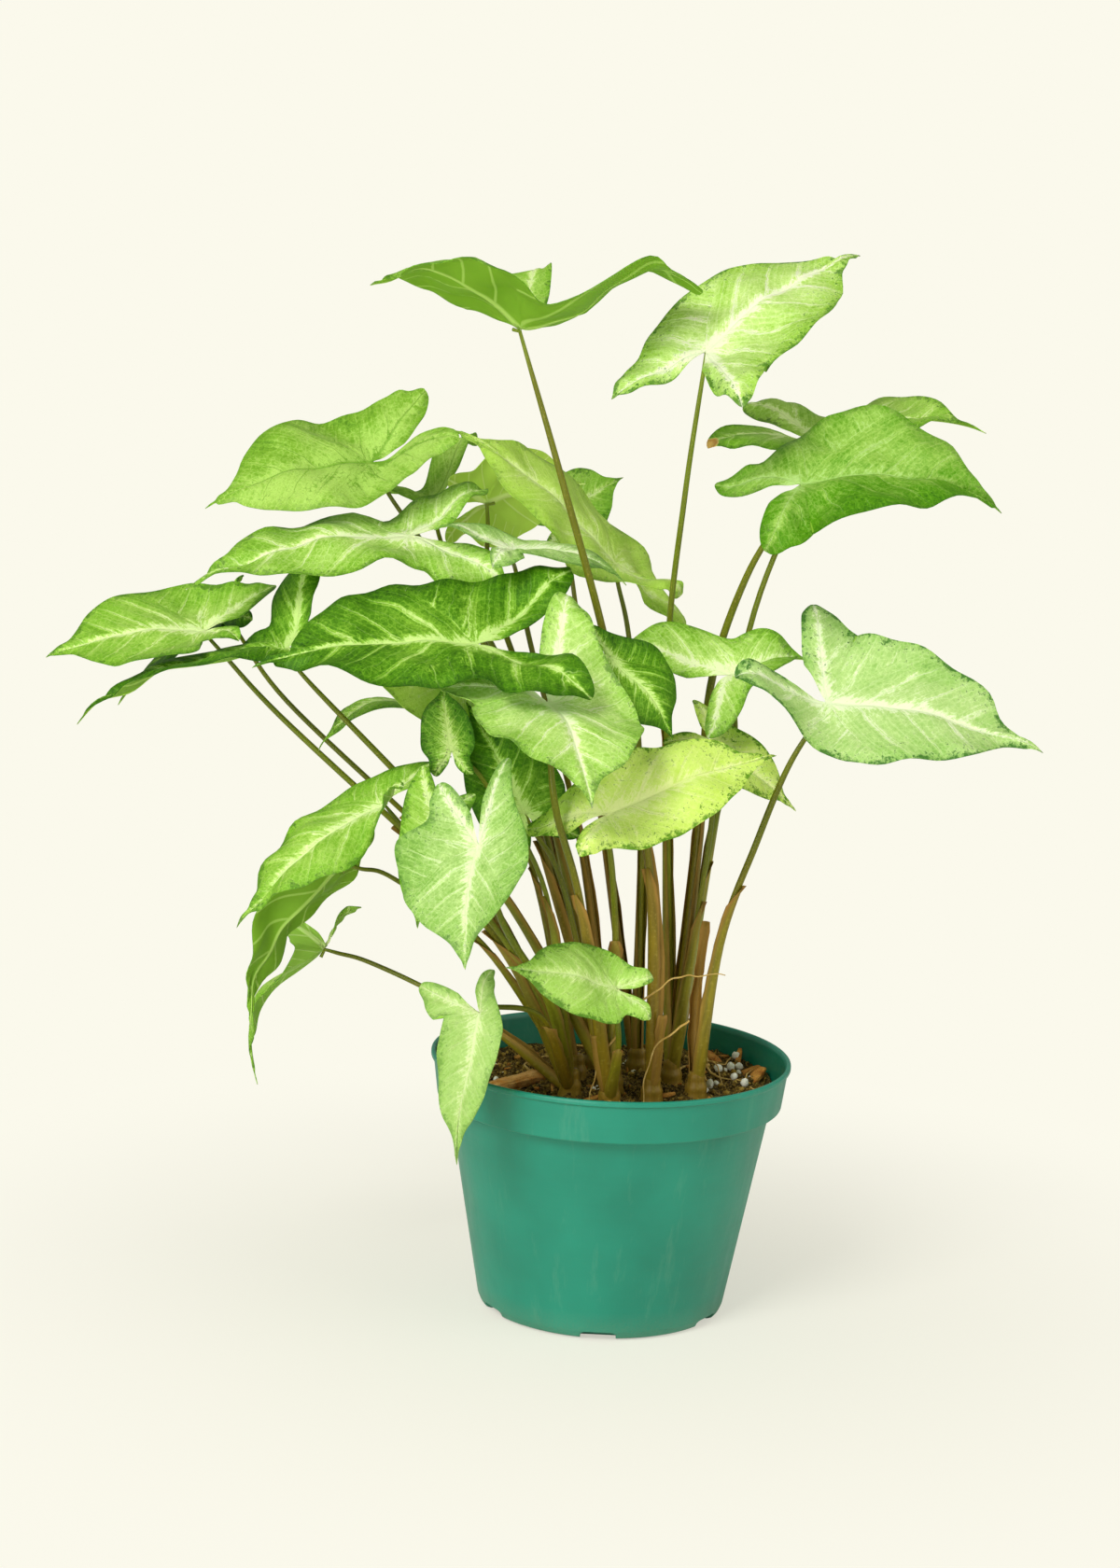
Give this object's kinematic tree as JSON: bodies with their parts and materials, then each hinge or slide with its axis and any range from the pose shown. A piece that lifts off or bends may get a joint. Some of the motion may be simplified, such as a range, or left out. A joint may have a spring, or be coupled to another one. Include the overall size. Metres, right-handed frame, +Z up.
{
  "type": "potted arrowhead plant",
  "caption": "Leafy arrowhead plant with arrow-shaped variegated leaves on long petioles, growing in a round plastic nursery pot of potting mix.",
  "frame": {"origin": "middle of the pot's underside", "axes": "+Z up, +X to the right and +Y away from the side that shows the most leaf faces"},
  "size_m": [0.4392, 0.2528, 0.4825],
  "materials": {
    "pot_plastic": "smooth injection-moulded polypropylene, slightly glossy",
    "potting_mix": "moist crumbly peat and bark mix",
    "bark": "dry fibrous bark",
    "petiole": "waxy smooth plant skin",
    "leaf": "thin satin leaf blade, variegated"
  },
  "bodies": {
    "root": {"pot": "pot_plastic", "soil": "potting_mix", "bark_chip": "bark", "leaf_arched_left": "leaf", "leaf_back_centre": "leaf", "leaf_behind_back": "leaf", "leaf_behind_far_left": "leaf", "leaf_behind_white": "leaf", "leaf_broad_right": "leaf", "leaf_dark_front": "leaf", "leaf_dark_middle": "leaf", "leaf_dark_right": "leaf", "leaf_drooping_left": "leaf", "leaf_edge_left": "leaf", "leaf_far_left": "leaf", "leaf_grey_centre": "leaf", "leaf_heart_front": "leaf", "leaf_lower_left": "leaf", "leaf_lowest_left": "leaf", "leaf_mid_left": "leaf", "leaf_mid_right": "leaf", "leaf_mottled_small": "leaf", "leaf_over_rim": "leaf", "leaf_pale_left": "leaf", "leaf_small_front": "leaf", "leaf_top_left": "leaf", "leaf_top_right": "leaf", "leaf_upper_left": "leaf", "leaf_upper_right": "leaf", "leaf_white_centre": "leaf", "leaf_white_front": "leaf", "leaf_yellow_back": "leaf", "leaf_yellow_front": "leaf", "leaf_yellow_left": "leaf", "leaf_yellow_right": "leaf", "stem_a": "petiole", "stem_b": "petiole", "stem_c": "petiole", "stem_d": "petiole", "stem_e": "petiole", "stem_f": "petiole", "stem_g": "petiole", "stem_h": "petiole", "stem_i": "petiole"}
  },
  "joints": []
}
